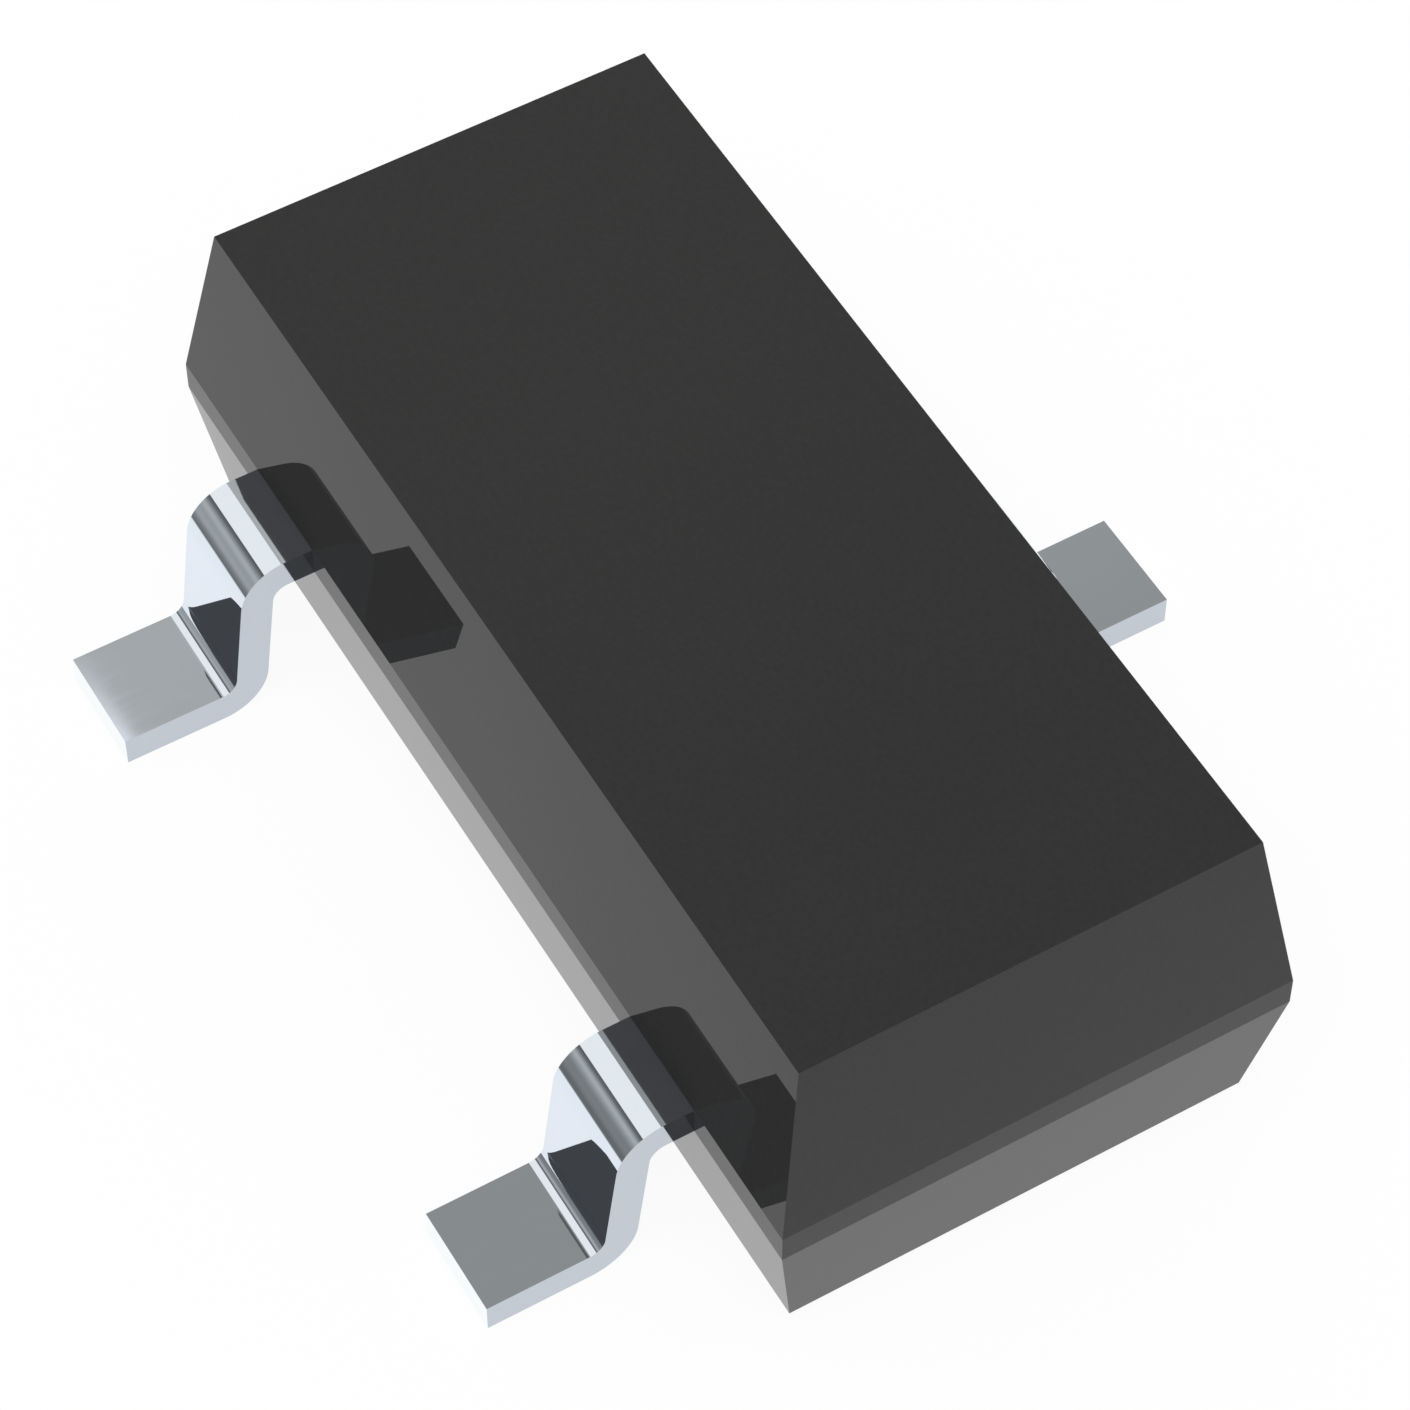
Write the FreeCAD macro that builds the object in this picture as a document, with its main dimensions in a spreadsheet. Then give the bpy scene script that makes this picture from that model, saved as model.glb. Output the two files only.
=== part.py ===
"""Three-lead voltage reference IC in a small-outline package, lead pitch 0.95 mm. Sizes in mm.

The origin lies under the middle of the body, on the plane that the feet stand on. +X runs along
the body, +Z points up, and the side with two leads is -Y.
"""
import FreeCAD
import Part
import Sketcher
import math
import os

SIZES = [
    ("body_length", 3.000, "moulded body at its parting band, along X"),
    ("body_width", 1.400, "moulded body at its parting band, along Y"),
    ("mould_above", 0.530, "height of the mould over the lead frame"),
    ("mould_below", 0.400, "depth of the mould under the lead frame"),
    ("stand_off", 0.025, "air under the body when the feet rest"),
    ("mould_draft", 9.0, "lean of the mould walls, in degrees"),
    ("frame_thickness", 0.090, "sheet that the lead frame is stamped from"),
    ("lead_spacing", 0.950, "from the middle lead to either outer lead, along X"),
    ("lead_width", 0.300, "lead, along X"),
    ("shoulder_length", 0.076, "level part of a lead outside the body"),
    ("bend_radius", 0.045, "inside radius of both bends of a lead"),
    ("leg_lean", 7.1, "lean of the leg from upright, in degrees"),
    ("foot_length", 0.277, "flat part of the foot, up to its tip"),
    ("post_width", 0.580, "bond post inside the body, along X"),
    ("post_depth", 0.240, "bond post inside the body, along Y"),
    ("post_setback", 0.160, "from the side of the body in to a post"),
    ("paddle_width", 1.300, "die paddle, along X"),
    ("paddle_setback", 0.180, "from the side of the body in to the paddle"),
    ("frame_gap", 0.140, "slot between the posts and the paddle"),
    ("frame_corner", 0.040, "radius of the stamped corners of posts and paddle"),
    ("die_length", 0.900, "silicon die, along X"),
    ("die_depth", 0.460, "silicon die, along Y"),
    ("die_thickness", 0.200, "silicon die, after back grinding"),
    ("die_setback", 0.060, "from the slot side of the paddle in to the die"),
    ("attach_thickness", 0.020, "layer of die adhesive"),
    ("attach_bleed", 0.030, "how far the adhesive runs out past the die"),
    ("pad_width", 0.090, "bond pad on the die, square"),
    ("pad_height", 0.004, "metal of a bond pad above the silicon"),
    ("pad_inset", 0.085, "from a side of the die in to the middle of a pad"),
    ("wire_diameter", 0.025, "gold bond wire"),
    ("wire_bend", 0.050, "radius of the bond wire where it turns"),
    ("loop_height", 0.125, "top of the two long wires above their pads"),
    ("ground_loop_height", 0.110, "top of the short wire above its pad"),
    ("ball_diameter", 0.064, "squashed ball at the start of a wire, at its widest"),
    ("ball_flat", 0.050, "squashed ball, across its flat top and bottom"),
    ("ball_height", 0.018, "squashed ball, from its flat bottom to its flat top"),
    ("stitch_length", 0.070, "flattened end of a wire, along the wire"),
    ("stitch_width", 0.044, "flattened end of a wire, across the wire"),
    ("stitch_height", 0.008, "flattened end of a wire"),
    ("stitch_clearance", 0.045, "from the die adhesive to the short wire's stitch"),
]

# Heights that several pieces share, worked out from the sizes
FRAME_BOTTOM = "(Sizes.stand_off + Sizes.mould_below)"
FRAME_TOP = "(Sizes.stand_off + Sizes.mould_below + Sizes.frame_thickness)"
DIE_BOTTOM = "(%s + Sizes.attach_thickness)" % FRAME_TOP
PAD_TOP = "(%s + Sizes.die_thickness + Sizes.pad_height)" % DIE_BOTTOM
BOND_DROP = "(Sizes.attach_thickness + Sizes.die_thickness + Sizes.pad_height)"

# The level end of a bond wire, half sunk in its stitch: its middle line under the pad's top
LEVEL_HEIGHT = "(Sizes.stitch_height / 2 + Sizes.wire_diameter / 2 - %s)" % BOND_DROP
LEVEL_RUN = "(Sizes.stitch_length / 4)"
TURN_CHORDS = 3

# Places along Y that several pieces share
SIDE = "(Sizes.body_width / 2)"
POST_EDGE = "(%s - Sizes.post_setback)" % SIDE
PADDLE_EDGE = "(%s - Sizes.paddle_setback)" % SIDE
PADDLE_DEPTH = "(%s + %s - Sizes.post_depth - Sizes.frame_gap)" % (PADDLE_EDGE, POST_EDGE)
DIE_EDGE = "(%s - %s + Sizes.die_setback + Sizes.die_depth)" % (PADDLE_EDGE, PADDLE_DEPTH)

# Numbers that a sketch gives to its own axes, to the points of a curve, and, in the order in
# which this file draws them, to the sides of a rectangle
ORIGIN_AXIS, UPRIGHT_AXIS = range(-1, -3, -1)
START, END, CENTRE = range(1, 4)
BOTTOM, RIGHT, TOP, LEFT = range(4)
UPWARD = FreeCAD.Vector(0, 0, 1)

doc = FreeCAD.newDocument("VoltageReference")


def make_sheet():
    """The spreadsheet of driving dimensions, one row each: name, value, meaning"""
    sheet = doc.addObject("Spreadsheet::Sheet", "Sizes")
    for row, (name, size, meaning) in enumerate(SIZES, start=1):
        sheet.set("A%d" % row, name)
        sheet.set("B%d" % row, str(size))
        sheet.set("C%d" % row, meaning)
        sheet.setAlias("B%d" % row, name)
    doc.recompute()
    return sheet


sheet = make_sheet()


def value(expression):
    """What an expression on the sheet's cells comes to, as a plain number"""
    result = sheet.evalExpression(expression)
    return float(getattr(result, "Value", result))


def make_body(name):
    body = doc.addObject("PartDesign::Body", name)
    body.Label = name
    return body


def make_sketch(body, name, plane, height=None):
    """A sketch on one of the body's own origin planes, lifted along that plane's normal"""
    sketch = body.newObject("Sketcher::SketchObject", name)
    planes = {feature.Role: feature for feature in body.Origin.OriginFeatures}
    sketch.AttachmentSupport = (planes[plane], [""])
    sketch.MapMode = "FlatFace"
    if height:
        sketch.setExpression("AttachmentOffset.Base.z", height)
    return sketch


def dimension(sketch, name, expression, kind, *where):
    """A named driving constraint, bound to the sheet"""
    size = value(expression)
    if kind == "Angle":
        size = math.radians(size)
    sketch.addConstraint(Sketcher.Constraint(kind, *where, size))
    last = sketch.ConstraintCount - 1
    sketch.renameConstraint(last, name)
    sketch.setExpression("Constraints." + name, expression)


def constrain(sketch, kind, *where):
    sketch.addConstraint(Sketcher.Constraint(kind, *where))


def vector(x, y):
    return FreeCAD.Vector(x, y, 0)


def draw_rectangle(sketch, width, depth):
    """Four lines round the sketch's origin, not yet placed: bottom, right, top, left"""
    half_width = value(width) / 2
    half_depth = value(depth) / 2
    corners = [vector(-half_width, -half_depth), vector(half_width, -half_depth),
               vector(half_width, half_depth), vector(-half_width, half_depth)]
    for first, last in zip(corners, corners[1:] + corners[:1]):
        sketch.addGeometry(Part.LineSegment(first, last))
    for side, next_side in ((BOTTOM, RIGHT), (RIGHT, TOP), (TOP, LEFT), (LEFT, BOTTOM)):
        constrain(sketch, "Coincident", side, END, next_side, START)
    constrain(sketch, "Vertical", RIGHT)
    constrain(sketch, "Horizontal", TOP)
    constrain(sketch, "Vertical", LEFT)
    dimension(sketch, "width", width, "DistanceX", BOTTOM, START, BOTTOM, END)
    dimension(sketch, "depth", depth, "DistanceY", RIGHT, START, RIGHT, END)


def centred_rectangle(sketch, width, depth):
    draw_rectangle(sketch, width, depth)
    constrain(sketch, "Horizontal", BOTTOM)
    constrain(sketch, "Symmetric", BOTTOM, START, RIGHT, END, ORIGIN_AXIS, START)


def rectangle_below(sketch, width, depth, edge):
    """A rectangle astride the upright axis, its far side at edge and the rest nearer the origin"""
    draw_rectangle(sketch, width, depth)
    constrain(sketch, "Symmetric", BOTTOM, START, BOTTOM, END, UPRIGHT_AXIS)
    dimension(sketch, "edge", edge, "DistanceY", ORIGIN_AXIS, START, RIGHT, END)


def add_pad(body, name, sketch, height, draft=None, downward=False):
    pad = body.newObject("PartDesign::Pad", name)
    pad.Profile = sketch
    pad.setExpression("Length", height)
    pad.Reversed = downward
    if draft:
        pad.setExpression("TaperAngle", draft)
    return pad


def make_moulding_blank():
    """The outer form: a straight band as thick as the lead frame, and a block above it and a
    block below it that both narrow away from the band"""
    body = make_body("moulding_blank")
    outline = ("Sizes.body_length", "Sizes.body_width")
    band = make_sketch(body, "band_outline", "XY_Plane", FRAME_BOTTOM)
    centred_rectangle(band, *outline)
    add_pad(body, "band", band, "Sizes.frame_thickness")
    upper = make_sketch(body, "upper_outline", "XY_Plane", FRAME_TOP)
    centred_rectangle(upper, *outline)
    add_pad(body, "upper_block", upper, "Sizes.mould_above", "-Sizes.mould_draft")
    lower = make_sketch(body, "lower_outline", "XY_Plane", FRAME_BOTTOM)
    centred_rectangle(lower, *outline)
    add_pad(body, "lower_block", lower, "Sizes.mould_below", "-Sizes.mould_draft", downward=True)
    return body


def draw_lead_side(sketch, inner_end):
    """The bent sheet seen from its edge, as a closed outline of eight lines and four arcs.

    The sheet runs level from inner_end out past the body, turns down round the shoulder, leans
    out down the leg, and turns level again at the heel into the foot.
    """
    thick = value("Sizes.frame_thickness")
    inside = value("Sizes.bend_radius")
    outside = inside + thick
    lean = math.radians(value("Sizes.leg_lean"))
    under = value(FRAME_BOTTOM)
    foot = value("Sizes.foot_length")
    across_leg = vector(math.cos(lean), math.sin(lean))
    down_leg = vector(math.sin(lean), -math.cos(lean))
    shoulder = vector(value(SIDE) + value("Sizes.shoulder_length"), under - inside)
    drop = shoulder.y - (thick + inside)
    leg = (drop + (inside + outside) * across_leg.y) / math.cos(lean)
    heel = shoulder + across_leg * (inside + outside) + down_leg * leg
    start = value(inner_end)
    up = vector(0, 1)

    def line(first, last):
        sketch.addGeometry(Part.LineSegment(first, last))

    def arc(centre, radius, first, last):
        sketch.addGeometry(Part.ArcOfCircle(Part.Circle(centre, UPWARD, radius), first, last))

    tip = heel.x + foot
    line(vector(start, under), vector(shoulder.x, under))
    arc(shoulder, inside, lean, math.pi / 2)
    line(shoulder + across_leg * inside, heel - across_leg * outside)
    arc(heel, outside, math.pi + lean, 1.5 * math.pi)
    line(heel - up * outside, vector(tip, 0))
    line(vector(tip, 0), vector(tip, thick))
    line(vector(tip, thick), heel - up * inside)
    arc(heel, inside, math.pi + lean, 1.5 * math.pi)
    line(heel - across_leg * inside, shoulder + across_leg * outside)
    arc(shoulder, outside, lean, math.pi / 2)
    line(shoulder + up * outside, vector(start, under + thick))
    line(vector(start, under + thick), vector(start, under))
    shank_under, shoulder_in, leg_in, heel_out, sole, tip_end = range(6)
    foot_top, heel_in, leg_out, shoulder_out, shank_top, inner_face = range(6, 12)

    constrain(sketch, "Tangent", shank_under, END, shoulder_in, END)
    constrain(sketch, "Tangent", leg_in, START, shoulder_in, START)
    constrain(sketch, "Tangent", leg_in, END, heel_out, START)
    constrain(sketch, "Tangent", sole, START, heel_out, END)
    constrain(sketch, "Coincident", sole, END, tip_end, START)
    constrain(sketch, "Coincident", tip_end, END, foot_top, START)
    constrain(sketch, "Tangent", foot_top, END, heel_in, END)
    constrain(sketch, "Tangent", leg_out, START, heel_in, START)
    constrain(sketch, "Tangent", leg_out, END, shoulder_out, START)
    constrain(sketch, "Tangent", shank_top, START, shoulder_out, END)
    constrain(sketch, "Coincident", shank_top, END, inner_face, START)
    constrain(sketch, "Coincident", inner_face, END, shank_under, START)
    constrain(sketch, "Coincident", shoulder_in, CENTRE, shoulder_out, CENTRE)
    constrain(sketch, "Coincident", heel_in, CENTRE, heel_out, CENTRE)
    for level in (shank_under, sole, foot_top, shank_top):
        constrain(sketch, "Horizontal", level)
    for upright in (tip_end, inner_face):
        constrain(sketch, "Vertical", upright)
    constrain(sketch, "PointOnObject", sole, START, ORIGIN_AXIS)
    dimension(sketch, "under", FRAME_BOTTOM, "DistanceY", ORIGIN_AXIS, START, shank_under, START)
    dimension(sketch, "start", inner_end, "DistanceX", ORIGIN_AXIS, START, shank_under, START)
    dimension(sketch, "shoulder", "%s + Sizes.shoulder_length" % SIDE,
              "DistanceX", ORIGIN_AXIS, START, shank_under, END)
    dimension(sketch, "shank_sheet", "Sizes.frame_thickness",
              "DistanceY", inner_face, END, inner_face, START)
    dimension(sketch, "foot_sheet", "Sizes.frame_thickness", "DistanceY", tip_end, START, tip_end, END)
    dimension(sketch, "shoulder_bend", "Sizes.bend_radius", "Radius", shoulder_in)
    dimension(sketch, "heel_bend", "Sizes.bend_radius", "Radius", heel_in)
    dimension(sketch, "foot", "Sizes.foot_length", "DistanceX", sole, START, sole, END)
    dimension(sketch, "lean", "90 + Sizes.leg_lean", "Angle", leg_out)


def upright_edges(shape, lead_side):
    """Names of the edges across the sheet at the corners of a plate, but not of the lead"""
    names = []
    under = value(FRAME_BOTTOM)
    thick = value("Sizes.frame_thickness")
    middle = under + thick / 2
    fuzz = thick / 1000
    for number, edge in enumerate(shape.Edges, start=1):
        box = edge.BoundBox
        upright = box.XLength < fuzz and box.YLength < fuzz and box.ZLength > thick - fuzz
        level = abs(box.Center.z - middle) < fuzz
        if upright and level and box.Center.y < lead_side + fuzz:
            names.append("Edge%d" % number)
    return names


def make_lead(name, label, plate_width, plate_depth, plate_edge):
    """A formed lead that points to +Y, with the plate that holds it inside the body.

    The plate is a bond post or the die paddle. It and the lead are one stamped strip.
    """
    body = make_body(label)
    side = make_sketch(body, name + "_side", "YZ_Plane")
    plate_middle = "%s - %s / 2" % (plate_edge, plate_depth)
    draw_lead_side(side, plate_middle)
    strip = add_pad(body, name + "_strip", side, "Sizes.lead_width")
    strip.SideType = "Symmetric"
    outline = make_sketch(body, name + "_plate_outline", "XY_Plane", FRAME_BOTTOM)
    rectangle_below(outline, plate_width, plate_depth, plate_edge)
    plate = add_pad(body, name + "_plate", outline, "Sizes.frame_thickness")
    doc.recompute()
    corners = body.newObject("PartDesign::Fillet", name + "_corners")
    corners.Base = (plate, upright_edges(plate.Shape, value(plate_edge)))
    corners.setExpression("Radius", "Sizes.frame_corner")
    return body


def make_outer_lead(label, side_sign):
    """A lead of the two-lead side: turned to face -Y, and moved along X by the pitch"""
    body = make_lead(label, label, "Sizes.post_width", "Sizes.post_depth", POST_EDGE)
    body.Placement = FreeCAD.Placement(vector(0, 0), FreeCAD.Rotation(UPWARD, 180))
    body.setExpression("Placement.Base.x", "%d * Sizes.lead_spacing" % side_sign)
    return body


def make_paddle_lead():
    return make_lead("lead_3", "lead_3", "Sizes.paddle_width", PADDLE_DEPTH, PADDLE_EDGE)


def make_die_attach():
    """Adhesive under the die, running out past it to a feather edge"""
    body = make_body("die_attach")
    outline = make_sketch(body, "attach_outline", "XY_Plane", FRAME_TOP)
    rectangle_below(outline, "Sizes.die_length + 2 * Sizes.attach_bleed",
                    "Sizes.die_depth + 2 * Sizes.attach_bleed", "%s + Sizes.attach_bleed" % DIE_EDGE)
    feather = "-atan(Sizes.attach_bleed / Sizes.attach_thickness)"
    add_pad(body, "attach_layer", outline, "Sizes.attach_thickness", feather)
    return body


# Where the bond pads lie on the die: two near the slot, one at the other side for the ground
SIGNAL_PAD_X = "(Sizes.die_length / 2 - Sizes.pad_inset)"
SIGNAL_PAD_Y = "(%s - Sizes.die_depth + Sizes.pad_inset)" % DIE_EDGE
GROUND_PAD_Y = "(%s - Sizes.pad_inset)" % DIE_EDGE


def make_die():
    """The silicon, with three square pads of metal standing just proud of its top"""
    body = make_body("reference_die")
    outline = make_sketch(body, "die_outline", "XY_Plane", DIE_BOTTOM)
    rectangle_below(outline, "Sizes.die_length", "Sizes.die_depth", DIE_EDGE)
    add_pad(body, "silicon", outline, "Sizes.die_thickness")
    top = "%s + Sizes.die_thickness" % DIE_BOTTOM
    pads = (("left_pad", "-" + SIGNAL_PAD_X, SIGNAL_PAD_Y),
            ("right_pad", SIGNAL_PAD_X, SIGNAL_PAD_Y),
            ("ground_pad", "0", GROUND_PAD_Y))
    for name, across, along in pads:
        square = make_sketch(body, name + "_outline", "XY_Plane", top)
        centred_rectangle(square, "Sizes.pad_width", "Sizes.pad_width")
        square.setExpression("AttachmentOffset.Base.x", across)
        square.setExpression("AttachmentOffset.Base.y", along)
        add_pad(body, name, square, "Sizes.pad_height")
    return body


def draw_wire_path(sketch, span, loop):
    """The middle line of a bond wire: up out of the ball, over, down a slope, level at its end.

    The turn over the top is drawn as the chords of an arc, which the sketch keeps as a guide.
    """
    bend = value("Sizes.wire_bend")
    start = value("Sizes.ball_height / 2")
    level_start = vector(value(span) - value(LEVEL_RUN), value(LEVEL_HEIGHT))
    over = vector(bend, value(loop) - value("Sizes.wire_diameter") / 2 - bend)
    gap = level_start - over
    slope = math.atan2(-gap.y, gap.x) + math.asin(bend / gap.Length)
    turn = math.pi / 2 + slope
    corners = [vector(0, start)]
    for chord in range(TURN_CHORDS + 1):
        angle = math.pi - turn * chord / TURN_CHORDS
        corners.append(over + vector(math.cos(angle), math.sin(angle)) * bend)
    corners += [level_start, vector(value(span), level_start.y)]
    for first, last in zip(corners, corners[1:]):
        sketch.addGeometry(Part.LineSegment(first, last))
    round_turn = Part.Circle(over, UPWARD, bend)
    guide = sketch.addGeometry(Part.ArcOfCircle(round_turn, math.pi - turn, math.pi), True)

    chords = range(1, TURN_CHORDS + 1)
    rise, slope_line, level = 0, TURN_CHORDS + 1, TURN_CHORDS + 2
    for line in range(level):
        constrain(sketch, "Coincident", line, END, line + 1, START)
    for chord in chords[1:]:
        constrain(sketch, "PointOnObject", chord, START, guide)
        constrain(sketch, "Equal", chords[0], chord)
    constrain(sketch, "Vertical", rise)
    constrain(sketch, "Horizontal", level)
    constrain(sketch, "Tangent", rise, END, guide, END)
    constrain(sketch, "Tangent", slope_line, START, guide, START)
    constrain(sketch, "PointOnObject", rise, START, UPRIGHT_AXIS)
    dimension(sketch, "start", "Sizes.ball_height / 2", "DistanceY", ORIGIN_AXIS, START, rise, START)
    dimension(sketch, "turn", "Sizes.wire_bend", "Radius", guide)
    dimension(sketch, "crest", "%s - Sizes.wire_diameter / 2 - Sizes.wire_bend" % loop,
              "DistanceY", ORIGIN_AXIS, START, guide, CENTRE)
    dimension(sketch, "reach", span, "DistanceX", ORIGIN_AXIS, START, level, END)
    dimension(sketch, "run", LEVEL_RUN, "DistanceX", level, START, level, END)
    dimension(sketch, "drop", "-" + LEVEL_HEIGHT, "DistanceY", level, END, ORIGIN_AXIS, START)


def draw_ball_half(sketch):
    """Half of a squashed ball, to be turned about the upright axis"""
    height = value("Sizes.ball_height")
    flat = value("Sizes.ball_flat") / 2
    widest = value("Sizes.ball_diameter") / 2
    corners = [vector(0, 0), vector(flat, 0), vector(widest, height / 2),
               vector(flat, height), vector(0, height)]
    for place, corner in enumerate(corners):
        sketch.addGeometry(Part.LineSegment(corners[place - 1], corner))
    middle, bottom, lower_side, upper_side, top = range(5)
    ring = (middle, bottom, lower_side, upper_side, top, middle)
    for first, last in zip(ring, ring[1:]):
        constrain(sketch, "Coincident", first, END, last, START)
    constrain(sketch, "Coincident", bottom, START, ORIGIN_AXIS, START)
    constrain(sketch, "Vertical", middle)
    constrain(sketch, "Horizontal", bottom)
    constrain(sketch, "Horizontal", top)
    constrain(sketch, "Vertical", bottom, END, top, START)
    constrain(sketch, "Equal", lower_side, upper_side)
    dimension(sketch, "height", "Sizes.ball_height", "DistanceY", middle, END, middle, START)
    dimension(sketch, "flat", "Sizes.ball_flat / 2", "DistanceX", bottom, START, bottom, END)
    dimension(sketch, "widest", "Sizes.ball_diameter / 2", "DistanceX", bottom, START, lower_side, END)


def draw_stitch(sketch, span):
    """The flattened end of a wire: a slot-shaped tongue along the wire, centred on its landing"""
    radius = value("Sizes.stitch_width") / 2
    reach = value(span)
    half = value("Sizes.stitch_length") / 2 - radius
    near = vector(reach - half, 0)
    far = vector(reach + half, 0)
    up = vector(0, radius)
    sketch.addGeometry(Part.LineSegment(near - up, far - up))
    sketch.addGeometry(Part.ArcOfCircle(Part.Circle(far, UPWARD, radius), -math.pi / 2, math.pi / 2))
    sketch.addGeometry(Part.LineSegment(far + up, near + up))
    sketch.addGeometry(Part.ArcOfCircle(Part.Circle(near, UPWARD, radius), math.pi / 2, 1.5 * math.pi))
    right, far_end, left, near_end = range(4)
    for first, last in ((right, far_end), (far_end, left), (left, near_end), (near_end, right)):
        constrain(sketch, "Tangent", first, END, last, START)
    constrain(sketch, "Equal", far_end, near_end)
    constrain(sketch, "Horizontal", right)
    constrain(sketch, "PointOnObject", far_end, CENTRE, ORIGIN_AXIS)
    dimension(sketch, "width", "Sizes.stitch_width / 2", "Radius", far_end)
    dimension(sketch, "length", "Sizes.stitch_length - Sizes.stitch_width",
              "DistanceX", right, START, right, END)
    dimension(sketch, "place", "%s + (Sizes.stitch_length - Sizes.stitch_width) / 2" % span,
              "DistanceX", ORIGIN_AXIS, START, far_end, CENTRE)


def make_bond_wire(label, pad, landing, loop):
    """One gold wire: squashed ball on its pad, round wire in a loop, flattened tongue at its end.

    It is drawn in its own upright plane, with the pad's top at its origin. The placement then
    turns that plane from the pad towards the landing.
    """
    pad_x, pad_y = pad
    along_x = "(%s - %s)" % (landing[0], pad_x)
    along_y = "(%s - %s)" % (landing[1], pad_y)
    span = "hypot(%s; %s)" % (along_x, along_y)
    body = make_body(label)
    ball_half = make_sketch(body, label + "_ball_half", "XZ_Plane")
    draw_ball_half(ball_half)
    ball = body.newObject("PartDesign::Revolution", label + "_ball")
    ball.Profile = ball_half
    ball.ReferenceAxis = (ball_half, ["V_Axis"])
    ball.Angle = 360
    section = make_sketch(body, label + "_section", "XY_Plane", "Sizes.ball_height / 2")
    section.addGeometry(Part.Circle(vector(0, 0), UPWARD, value("Sizes.wire_diameter") / 2))
    constrain(section, "Coincident", 0, CENTRE, ORIGIN_AXIS, START)
    dimension(section, "radius", "Sizes.wire_diameter / 2", "Radius", 0)
    path = make_sketch(body, label + "_path", "XZ_Plane")
    draw_wire_path(path, span, loop)
    doc.recompute()
    wire = body.newObject("PartDesign::AdditivePipe", label + "_loop")
    wire.Profile = section
    wire.Spine = (path, [""])
    wire.Transition = "Right corner"
    tongue = make_sketch(body, label + "_tongue", "XY_Plane", "-" + BOND_DROP)
    draw_stitch(tongue, span)
    add_pad(body, label + "_stitch", tongue, "Sizes.stitch_height")
    turn = "atan2(%s; %s)" % (along_y, along_x)
    body.Placement = FreeCAD.Placement(vector(0, 0), FreeCAD.Rotation(UPWARD, value(turn)))
    body.setExpression("Placement.Base.x", pad_x)
    body.setExpression("Placement.Base.y", pad_y)
    body.setExpression("Placement.Base.z", PAD_TOP)
    body.setExpression("Placement.Rotation.Angle", turn)
    return body


def make_signal_wire(label, side_sign):
    """From a pad near the slot to the middle of the post on the same side"""
    pad = ("%d * %s" % (side_sign, SIGNAL_PAD_X), SIGNAL_PAD_Y)
    landing = ("%d * Sizes.lead_spacing" % side_sign, "(Sizes.post_depth / 2 - %s)" % POST_EDGE)
    return make_bond_wire(label, pad, landing, "Sizes.loop_height")


def make_ground_wire():
    """From the pad at the other side of the die down to the paddle that the die sits on"""
    beyond = "(%s + Sizes.attach_bleed + Sizes.stitch_clearance + Sizes.stitch_length / 2)" % DIE_EDGE
    landing = ("0", beyond)
    return make_bond_wire("bond_wire_ground", ("0", GROUND_PAD_Y), landing, "Sizes.ground_loop_height")


def make_mould(encased):
    """The mould compound: the outer form less all that the compound flowed round"""
    blank = make_moulding_blank()
    inserts = doc.addObject("Part::MultiFuse", "inserts")
    inserts.Shapes = encased
    mould = doc.addObject("Part::Cut", "mould_body")
    mould.Label = "mould_body"
    mould.Base = blank
    mould.Tool = inserts
    return mould


def check(nodes):
    """Stops on any object that failed, and on any piece that is not one sound solid"""
    for item in doc.Objects:
        if "Invalid" in item.State or "Error" in item.State:
            raise RuntimeError("%s failed: %s" % (item.Name, item.State))
    for node in nodes:
        if node.Shape.isNull() or not node.Shape.isValid():
            raise RuntimeError("%s has no sound shape" % node.Label)
        if len(node.Shape.Solids) != 1:
            raise RuntimeError("%s is not one solid" % node.Label)


inner = [
    make_outer_lead("lead_1", -1),
    make_outer_lead("lead_2", 1),
    make_paddle_lead(),
    make_die_attach(),
    make_die(),
    make_signal_wire("bond_wire_1", -1),
    make_signal_wire("bond_wire_2", 1),
    make_ground_wire(),
]
nodes = [make_mould(inner)] + inner
doc.recompute()
check(nodes)

os.makedirs("parts", exist_ok=True)
for node in nodes:
    node.Shape.exportStep(os.path.join("parts", node.Label + ".step"))
    print("%-18s %9.5f mm3" % (node.Label, node.Shape.Volume))
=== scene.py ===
"""The looks of a three-lead voltage reference IC: a moulded body standing on three formed leads.

Sizes are written in millimetres. Each finished mesh is scaled to metres, where it stands.
"""
import math

import bmesh
import bpy
from mathutils import Matrix, Vector


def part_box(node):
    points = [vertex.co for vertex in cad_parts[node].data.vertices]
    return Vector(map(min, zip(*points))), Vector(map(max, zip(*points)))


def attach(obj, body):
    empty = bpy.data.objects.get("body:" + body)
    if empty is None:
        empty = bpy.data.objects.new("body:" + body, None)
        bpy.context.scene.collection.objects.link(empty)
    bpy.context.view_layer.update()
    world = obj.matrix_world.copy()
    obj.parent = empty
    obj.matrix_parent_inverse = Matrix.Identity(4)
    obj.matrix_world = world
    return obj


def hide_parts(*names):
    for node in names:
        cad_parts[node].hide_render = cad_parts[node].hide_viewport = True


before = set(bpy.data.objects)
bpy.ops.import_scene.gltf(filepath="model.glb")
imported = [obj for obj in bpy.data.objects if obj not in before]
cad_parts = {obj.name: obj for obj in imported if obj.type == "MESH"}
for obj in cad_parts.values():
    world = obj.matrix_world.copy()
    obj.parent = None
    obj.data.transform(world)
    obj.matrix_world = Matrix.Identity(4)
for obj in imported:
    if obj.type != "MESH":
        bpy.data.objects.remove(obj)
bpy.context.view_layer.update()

# The camera
# It stands above the corner between the two-lead side and the right end, where the photograph
# was taken from. The angles and the distance come from the package's own corners in the picture.
MM = 0.001
VIEW_AZIMUTH = math.radians(59.77)
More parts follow.
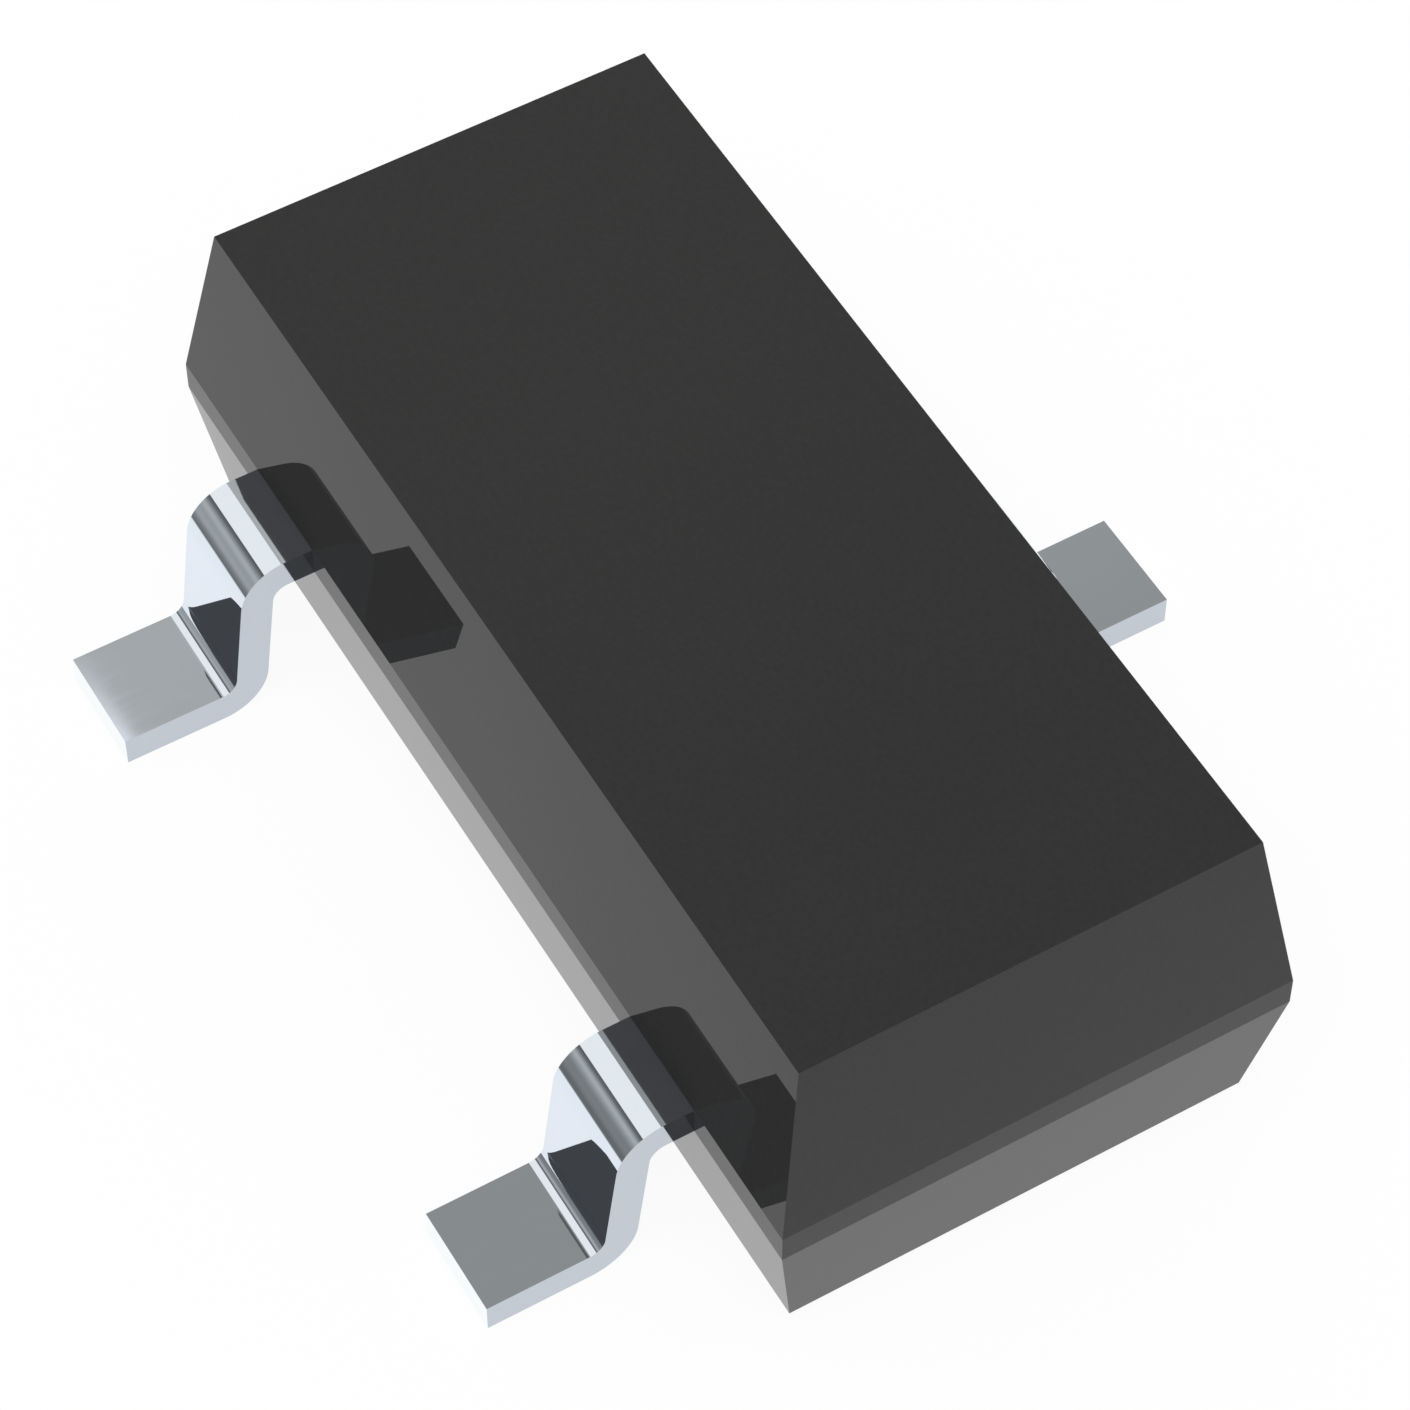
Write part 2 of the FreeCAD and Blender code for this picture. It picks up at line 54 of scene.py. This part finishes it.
VIEW_ELEVATION = math.radians(53.90)
VIEW_DISTANCE = 13.0544
VIEW_TARGET = Vector((-0.0305, -0.0123, 0.2952))
PICTURE_PIXELS = 1410
FOCAL_PIXELS = 5224.0
SENSOR_WIDTH = 36.0
NEAREST_SEEN = 0.1
FARTHEST_SEEN = 1000

towards_camera = Vector((
    math.sin(VIEW_AZIMUTH) * math.cos(VIEW_ELEVATION),
    -math.cos(VIEW_AZIMUTH) * math.cos(VIEW_ELEVATION),
    math.sin(VIEW_ELEVATION),
))
lens = bpy.data.cameras.new("camera")
lens.sensor_width = SENSOR_WIDTH
lens.lens = SENSOR_WIDTH * FOCAL_PIXELS / PICTURE_PIXELS
lens.clip_start = NEAREST_SEEN * MM
lens.clip_end = FARTHEST_SEEN * MM
camera = bpy.data.objects.new("camera", lens)
camera.location = (VIEW_TARGET + towards_camera * VIEW_DISTANCE) * MM
camera.rotation_euler = towards_camera.to_track_quat("Z", "Y").to_euler()
bpy.context.scene.collection.objects.link(camera)
bpy.context.scene.camera = camera
bpy.context.scene.view_settings.view_transform = "Standard"


# The studio
# A white room for the camera. Polished metal and the glossy mould see a long light panel that
# hangs over the part, parallel to its long side, a dark gap beside it, and the grey walls.
class Socket:
    """One output of a node. Arithmetic on it adds Math nodes to the same tree."""

    def __init__(self, shader, output):
        self.shader = shader
        self.output = output

    def math(self, operation, *values):
        return self.shader.add("ShaderNodeMath", {"operation": operation}, dict(enumerate(values)))

    def __add__(self, other):
        return self.math("ADD", self, other)

    def __sub__(self, other):
        return self.math("SUBTRACT", self, other)

    def __rsub__(self, other):
        return self.math("SUBTRACT", other, self)

    def __mul__(self, other):
        return self.math("MULTIPLY", self, other)

    def __truediv__(self, other):
        return self.math("DIVIDE", self, other)

    def __rtruediv__(self, other):
        return self.math("DIVIDE", other, self)

    def __lt__(self, other):
        return self.math("LESS_THAN", self, other)

    __radd__ = __add__
    __rmul__ = __mul__


class Shader:
    """The node tree of a material or of the world, written from its inputs to its output."""

    # A Mix node's colour sockets go by number, because its other sockets have the same names
    MIX_FIRST, MIX_SECOND, MIX_RESULT = 6, 7, 2

    def __init__(self, owner):
        owner.use_nodes = True
        self.tree = owner.node_tree
        self.tree.nodes.clear()

    def add(self, kind, settings=None, inputs=None, output=0):
        """Adds a node: its settings first, then its sockets. Returns one of its outputs."""
        node = self.tree.nodes.new(kind)
        for name, setting in (settings or {}).items():
            if name == "stops":
                self.set_stops(node.color_ramp, setting)
            else:
                setattr(node, name, setting)
        for name, given in (inputs or {}).items():
            if isinstance(given, Socket):
                self.tree.links.new(given.output, node.inputs[name])
            else:
                node.inputs[name].default_value = given
        return Socket(self, node.outputs[output]) if node.outputs else None

    def set_stops(self, ramp, stops):
        while len(ramp.elements) < len(stops):
            ramp.elements.new(1.0)
        for element, (position, colour) in zip(ramp.elements, stops):
            element.position = position
            element.color = colour

    def split(self, vector):
        return [self.add("ShaderNodeSeparateXYZ", None, {0: vector}, axis) for axis in range(3)]

    def smooth_step(self, value, low, high):
        settings = {"interpolation_type": "SMOOTHSTEP"}
        sockets = {"Value": value, "From Min": low, "From Max": high}
        return self.add("ShaderNodeMapRange", settings, sockets)

    def between(self, value, low, high, softness):
        """1 from low to high and 0 outside, with soft edges."""
        rising = self.smooth_step(value, low - softness, low + softness)
        return rising * self.smooth_step(value, high + softness, high - softness)

    def mix_colour(self, factor, first, second):
        sockets = {"Factor": factor, self.MIX_FIRST: first, self.MIX_SECOND: second}
        return self.add("ShaderNodeMix", {"data_type": "RGBA"}, sockets, self.MIX_RESULT)


# Turn from straight overhead towards the two-lead side in degrees, and how bright the wall is
WALL_RIGHT = [(-180, 0.30), (-100, 0.28), (-70, 0.42), (-25, 0.34), (-14, 0.32), (0, 0.32),
              (36, 0.10), (43, 0.17), (51.5, 0.46), (55.5, 0.48), (63.5, 0.33), (71, 0.24),
              (84, 0.24), (96, 0.16), (180, 0.30)]
WALL_LEFT = [(-180, 0.30), (-100, 0.30), (-70, 0.48), (-14, 0.48), (0, 0.48),
             (36, 0.10), (43, 0.16), (55.5, 0.47), (59.5, 0.47), (69, 0.37), (80, 0.41),
             (84, 0.40), (92, 0.26), (100, 0.19), (180, 0.30)]
WALL_MEETING = (-0.47, -0.57)
BACK_TINT = (1.00, 0.99, 0.93)
FRONT_TINT = (0.985, 1.02, 0.985)
PANEL_COLOUR = (1.0, 0.99, 0.95, 1)
# Where the panel and the small lamp start and end, and how soft their edges are
PANEL_TURN = (-6.5, 36.8, 0.3)
LAMP_TURN = (-13.80, -13.1, 0.1)
LAMP_ACROSS = (-0.565, -0.535, 0.014)
# What is mirrored twice: the front of the room, then overhead and behind, and the turns between
SECOND_BOUNCE = ((0.080, 0.0755, 0.0715, 1), (0.123, 0.118, 0.115, 1))
OVERHEAD_TURN = (30, 5)
# Glossy Depth is at most 1 at the first mirroring and at least 2 after it
ONE_MIRRORING = 1.5
SOFT_LIGHT = 0.55
WHITE = (1, 1, 1, 1)
FULL_TURN = 360

world = bpy.data.worlds.new("studio")
bpy.context.scene.world = world
world.cycles.sampling_method = "NONE"
room = Shader(world)
direction = room.add("ShaderNodeTexCoord", None, None, "Generated")
across, towards_back, upward = room.split(direction)
radians = room.add("ShaderNodeMath", {"operation": "ARCTAN2"}, {0: 0 - towards_back, 1: upward})
turn = radians * math.degrees(1)


def on_ramp(angle):
    """Where a turn from -180 to 180 degrees lies on a ramp from 0 to 1."""
    return angle / FULL_TURN + 0.5


def shaded(colour, share):
    """A colour made darker or lighter, with its alpha."""
    return [min(level * share, 1) for level in colour] + [1]


def wall(stops):
    """A ramp of the wall's brightness over the turn, each half with its own tint."""
    places = []
    for angle, level in stops:
        tint = BACK_TINT if angle < 0 else FRONT_TINT
        places.append((on_ramp(angle), shaded(tint, level)))
    return room.add("ShaderNodeValToRGB", {"stops": places}, {"Fac": on_ramp(turn)})


leftness = room.smooth_step(across, *WALL_MEETING)
walls = room.mix_colour(leftness, wall(WALL_RIGHT), wall(WALL_LEFT))
small_lamp = room.between(turn, *LAMP_TURN) * room.between(across, *LAMP_ACROSS)
lit = room.mix_colour(small_lamp, walls, WHITE)
lit = room.mix_colour(room.between(turn, *PANEL_TURN), lit, PANEL_COLOUR)


def light_path(shader, name):
    return shader.add("ShaderNodeLightPath", None, None, name)


def grey(level):
    return (level, level, level, 1)


first_bounce = light_path(room, "Glossy Depth") < ONE_MIRRORING
overhead = room.smooth_step(turn, *OVERHEAD_TURN)
dim = room.mix_colour(overhead, *SECOND_BOUNCE)
mirrored = room.mix_colour(first_bounce, dim, lit)
indirect = room.mix_colour(light_path(room, "Is Diffuse Ray"), mirrored, grey(SOFT_LIGHT))
shown = room.mix_colour(light_path(room, "Is Camera Ray"), indirect, WHITE)
background = room.add("ShaderNodeBackground", None, {"Color": shown, "Strength": 1.0})
room.add("ShaderNodeOutputWorld", None, {"Surface": background})

# With the soft light, it lights the floor at about 1
SKYLIGHT_STRENGTH = (1 - SOFT_LIGHT) * math.pi
SKYLIGHT_SPREAD = math.radians(50)
SKYLIGHT_LEAN = (math.radians(10), math.radians(14), 0)
skylight = bpy.data.lights.new("skylight", "SUN")
skylight.energy = SKYLIGHT_STRENGTH
skylight.angle = SKYLIGHT_SPREAD
skylight_object = bpy.data.objects.new("skylight", skylight)
skylight_object.rotation_euler = SKYLIGHT_LEAN
skylight_object.visible_glossy = False
bpy.context.scene.collection.objects.link(skylight_object)

# The floor
# A white table top that the feet stand on. Its rims fade into the white of the room, and it
# keeps a faint shadow of the part.
FLOOR_SIZE = (7.0, 5.6)
FLOOR_FADE = (0.08, 0.60)
FLOOR_WHITE = (0.98, 0.98, 0.98, 1)
FLOOR_GLOW = 0.93
FLOOR_SECOND_BOUNCE = 0.12


def finish_mesh(bm, name):
    """Makes the object of a bmesh drawn in millimetres."""
    bmesh.ops.scale(bm, vec=(MM, MM, MM), verts=bm.verts)
    mesh = bpy.data.meshes.new(name)
    bm.to_mesh(mesh)
    bm.free()
    piece = bpy.data.objects.new(name, mesh)
    bpy.context.scene.collection.objects.link(piece)
    return piece


def rectangle(width, depth):
    """A bmesh of one level rectangle about the origin."""
    bm = bmesh.new()
    bmesh.ops.create_grid(bm, x_segments=1, y_segments=1, size=0.5)
    bmesh.ops.scale(bm, vec=(width, depth, 1), verts=bm.verts)
    return bm


def new_material(name):
    """A material, its node tree, and the place on the piece that its pattern follows."""
    material = bpy.data.materials.new(name)
    shader = Shader(material)
    return material, shader, shader.add("ShaderNodeTexCoord", None, None, "Object")


floor = finish_mesh(rectangle(*FLOOR_SIZE), "floor")
floor_finish, top, place = new_material("white_table")
fade = 1
for size, position in zip(FLOOR_SIZE, top.split(place)):
    off_centre = top.add("ShaderNodeMath", {"operation": "ABSOLUTE"}, {0: position / MM})
    fade = fade * top.smooth_step(size / 2 - off_centre, *FLOOR_FADE)
seen = light_path(top, "Is Camera Ray")
for name in ("Is Glossy Ray", "Is Transmission Ray"):
    seen = top.add("ShaderNodeMath", {"operation": "MAXIMUM"}, {0: seen, 1: light_path(top, name)})
first_bounce = light_path(top, "Glossy Depth") < ONE_MIRRORING
glow = top.mix_colour(first_bounce, grey(FLOOR_SECOND_BOUNCE), WHITE)
painted = top.add("ShaderNodeBsdfDiffuse", None, {"Color": FLOOR_WHITE})
glowing = top.add("ShaderNodeEmission", None, {"Color": glow, "Strength": 1.0})
table = top.add("ShaderNodeMixShader", None, {0: seen * FLOOR_GLOW, 1: painted, 2: glowing})
clear = top.add("ShaderNodeBsdfTransparent")
rim = top.add("ShaderNodeMixShader", None, {0: fade, 1: clear, 2: table})
top.add("ShaderNodeOutputMaterial", None, {"Surface": rim})
floor.data.materials.append(floor_finish)

# The moulded body
# One piece of black epoxy compound, cast round the lead frame in a polished mould. The compound
# is full of fine silica grains, which show faintly through the thin clear skin of resin on it.
MOULD_COLOURS = ((0.0305, 0.0305, 0.0307, 1), (0.0335, 0.0335, 0.0337, 1))
GRAIN_SCALE = 70.0
FLOW_SCALE = 1.6
GRAIN_SHARE = 0.7
GRAIN_RANGE = (0.35, 0.65)
MOULD_ROUGHNESS = 0.35
MOULD_BUMP = 0.0002
SKIN_SHARE = 0.83
SKIN_INDEX = 1.33
SKIN_ROUGHNESS = 0.006
NOISE_DETAIL = 2.0


def noise(shader, vector, scale):
    """A value about 0.5 that wanders between 0 and 1, with scale features to a millimetre."""
    sockets = {"Vector": vector, "Scale": scale / MM, "Detail": NOISE_DETAIL}
    return shader.add("ShaderNodeTexNoise", {"noise_dimensions": "3D"}, sockets)


def finish_material(shader, sockets):
    surface = shader.add("ShaderNodeBsdfPrincipled", None, sockets)
    shader.add("ShaderNodeOutputMaterial", None, {"Surface": surface})


def bump(shader, height, depth):
    """A bump as deep as depth millimetres."""
    sockets = {"Height": height, "Distance": depth * MM, "Strength": 1.0}
    return shader.add("ShaderNodeBump", None, sockets)


mould_finish, shader, place = new_material("mould_compound")
grain = noise(shader, place, GRAIN_SCALE)
flow = noise(shader, place, FLOW_SCALE)
speckle = grain * GRAIN_SHARE + flow * (1 - GRAIN_SHARE)
finish_material(shader, {
    "Base Color": shader.mix_colour(shader.smooth_step(speckle, *GRAIN_RANGE), *MOULD_COLOURS),
    "Roughness": grain * MOULD_ROUGHNESS + MOULD_ROUGHNESS,
    "Specular IOR Level": 0.0,
    "Coat Weight": SKIN_SHARE,
    "Coat IOR": SKIN_INDEX,
    "Coat Roughness": SKIN_ROUGHNESS,
    "Normal": bump(shader, grain, MOULD_BUMP),
})
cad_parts["mould_body"].material_slots[0].material = mould_finish

# The three leads
# Copper strip stamped with its bond post or die paddle, plated with bright tin, and bent down
# and out again after moulding. The stamped sides are duller with painted shade on top, and the
# trimmed tips carry a painted highlight.
SHEET = 0.090
LEAD_WIDTH = 0.300
SHOULDER = 0.076
BEND_RADIUS = 0.045
LEG_LEAN = math.radians(7.1)
BEND_STEPS = 40
SLIVER = 0.001
PLATE_CORNER = 0.040
CORNER_STEPS = 6
POST_SIZE = (0.580, 0.240)
PADDLE_WIDTH = 1.300
PADDLE_SETBACK = 0.180
SHARP = math.radians(20)
SIDEWAYS = 0.9

ROLLED_TIN = (0.750, 0.812, 0.900)
# Painted shade: the stamped sides are a darker copy of the tin, partly duller sheared metal and
# partly the shade of the floor near the body that they mirror
SHEARED_TIN_PAINTED_SHADE = (0.536, 0.581, 0.642)
# Painted highlight: the trimmed tip faces get a lighter copy of the tin, so that they mirror the
# white floor brighter than the rest
TIP_TIN_PAINTED_BRIGHT = (0.940, 0.975, 0.990)
ROLLED, SHEARED_PAINTED_SHADE, TIP_PAINTED_BRIGHT = range(3)
GRAIN_TINT = 0.015
TIN_ROUGHNESS = 0.015
TIN_GRAIN_ROUGHNESS = 0.03
TIN_BUMP = 0.000001

body_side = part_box("mould_body")[1].y / MM
lead_low, lead_high = [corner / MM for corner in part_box("lead_3")]
frame_top = lead_high.z
frame_bottom = frame_top - SHEET
tip = lead_high.y


def tin_finish(name, colour, along, across):
    """Bright tin with a faint grain. along and across are the grain's features to a millimetre."""
    material, shader, place = new_material(name)
    stretch = (across, along, along)
    stretched = shader.add("ShaderNodeMapping", None, {"Vector": place, "Scale": stretch})
    grain = noise(shader, stretched, scale=1.0)
    dark = shaded(colour, 1 - GRAIN_TINT)
    bright = shaded(colour, 1 + GRAIN_TINT)
    finish_material(shader, {
        "Base Color": shader.mix_colour(grain, dark, bright),
        "Metallic": 1.0,
        "Roughness": grain * TIN_GRAIN_ROUGHNESS + TIN_ROUGHNESS,
        "Normal": bump(shader, grain, TIN_BUMP),
    })
    return material


tin_finishes = [
    tin_finish("rolled_tin", ROLLED_TIN, along=6.0, across=60.0),
    # The side tin, darkened with painted shade
    tin_finish("sheared_tin_painted_shade", SHEARED_TIN_PAINTED_SHADE, along=60.0, across=6.0),
    # The tip tin, a painted highlight
    tin_finish("tip_tin_painted_bright", TIP_TIN_PAINTED_BRIGHT, along=30.0, across=60.0),
]


def face_at(bm, centre):
    return min(bm.faces, key=lambda face: (face.calc_center_median() - Vector(centre)).length)


def of_kind(made, kind):
    return [item for item in made if isinstance(item, kind)]


def pull(bm, face, step):
    """Draws the end of the strip out by a straight step, and returns its new end face.

    The sliver at each end takes up the bends' shading, so that the rest mirrors as a flat face.
    """
    sliver = step.normalized() * SLIVER
    for part in (sliver, step - sliver * 2, sliver):
        made = bmesh.ops.extrude_face_region(bm, geom=[face])["geom"]
        bmesh.ops.translate(bm, vec=part, verts=of_kind(made, bmesh.types.BMVert))
        bmesh.ops.delete(bm, geom=[face], context="FACES_ONLY")
        face = of_kind(made, bmesh.types.BMFace)[0]
    return face


def bend(bm, face, centre, angle):
    """Turns the end of the strip round a line along X, and returns its new end face."""
    made = bmesh.ops.spin(bm, geom=[face], cent=centre, axis=(1, 0, 0), angle=angle,
                          steps=BEND_STEPS, use_merge=False)["geom_last"]
    bmesh.ops.delete(bm, geom=[face], context="FACES_ONLY")
    return of_kind(made, bmesh.types.BMFace)[0]


def formed_lead(node, plate_width, plate_depth, plate_edge, turned=0.0, moved=0.0):
    """A lead that points to +Y, with its plate inside the body, then turned and moved into place."""
    bm = rectangle(plate_width, plate_depth)
    bmesh.ops.translate(bm, vec=(0, plate_edge - plate_depth / 2, frame_bottom), verts=bm.verts)
    bmesh.ops.bevel(bm, geom=bm.verts[:], offset=PLATE_CORNER, affect="VERTICES",
                    segments=CORNER_STEPS, profile=0.5, material=-1)
    for side in (-LEAD_WIDTH / 2, LEAD_WIDTH / 2):
        bmesh.ops.bisect_plane(bm, geom=bm.verts[:] + bm.edges[:] + bm.faces[:],
                               plane_co=(side, 0, 0), plane_no=(1, 0, 0))
    plate = bmesh.ops.extrude_face_region(bm, geom=bm.faces[:])["geom"]
    bmesh.ops.translate(bm, vec=(0, 0, SHEET), verts=of_kind(plate, bmesh.types.BMVert))

    outside = BEND_RADIUS + SHEET
    across_leg = Vector((0, math.cos(LEG_LEAN), math.sin(LEG_LEAN)))
    down_leg = Vector((0, math.sin(LEG_LEAN), -math.cos(LEG_LEAN)))
    shoulder = Vector((0, body_side + SHOULDER, frame_bottom - BEND_RADIUS))
    drop = shoulder.z - outside
    leg = (drop + (BEND_RADIUS + outside) * across_leg.z) / math.cos(LEG_LEAN)
    heel = shoulder + across_leg * (BEND_RADIUS + outside) + down_leg * leg
    turn = math.pi / 2 - LEG_LEAN

    end = face_at(bm, (0, plate_edge, frame_bottom + SHEET / 2))
    end = pull(bm, end, Vector((0, shoulder.y - plate_edge, 0)))
    end = bend(bm, end, shoulder, -turn)
    end = pull(bm, end, down_leg * leg)
    end = bend(bm, end, heel, turn)
    end = pull(bm, end, Vector((0, tip - heel.y, 0)))

    bmesh.ops.recalc_face_normals(bm, faces=bm.faces)
    for face in bm.faces:
        face.smooth = True
        # Faces turned sideways get the side tin, which carries painted shade
        face.material_index = SHEARED_PAINTED_SHADE if abs(face.normal.x) > SIDEWAYS else ROLLED
    # The trimmed tip face gets the lighter tin, a painted highlight
    end.material_index = TIP_PAINTED_BRIGHT
    for edge in bm.edges:
        edge.smooth = edge.calc_face_angle(0) < SHARP
    placement = Matrix.Translation((moved, 0, 0)) @ Matrix.Rotation(turned, 4, "Z")
    bmesh.ops.transform(bm, matrix=placement, verts=bm.verts)
    piece = finish_mesh(bm, node + "_formed")
    for material in tin_finishes:
        piece.data.materials.append(material)
    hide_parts(node)
    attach(piece, "root")


for node in ("lead_1", "lead_2"):
    low, high = [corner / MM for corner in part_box(node)]
    middle = (low.x + high.x) / 2
    formed_lead(node, *POST_SIZE, plate_edge=POST_SIZE[1] - high.y, turned=math.pi, moved=middle)
paddle_edge = body_side - PADDLE_SETBACK
formed_lead("lead_3", PADDLE_WIDTH, paddle_edge - lead_low.y, paddle_edge)

# The die and what holds it
# A thinned chip of silicon with bare metal pads, stuck down with silver-filled adhesive, and
# joined to the frame by three gold wires. The mould hides them all.
MOTTLE_SHADE = 0.9
MOTTLE_ROUGHNESS = 0.1
# Colour, metallic, roughness, and mottles to a millimetre
GOLD_WIRE = ((0.95, 0.68, 0.28), 1.0, 0.18, 90.0)
INNER_FINISHES = {
    "die_attach": ((0.55, 0.55, 0.53), 0.8, 0.45, 60.0),
    "reference_die": ((0.22, 0.23, 0.26), 0.6, 0.12, 25.0),
    "bond_wire_1": GOLD_WIRE,
    "bond_wire_2": GOLD_WIRE,
    "bond_wire_ground": GOLD_WIRE,
}

for node, (colour, metallic, roughness, scale) in INNER_FINISHES.items():
    material, shader, place = new_material(node + "_finish")
    mottle = noise(shader, place, scale)
    darker = shaded(colour, MOTTLE_SHADE)
    finish_material(shader, {
        "Base Color": shader.mix_colour(mottle, darker, shaded(colour, 1)),
        "Metallic": metallic,
        "Roughness": mottle * MOTTLE_ROUGHNESS + roughness,
    })
    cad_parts[node].material_slots[0].material = material
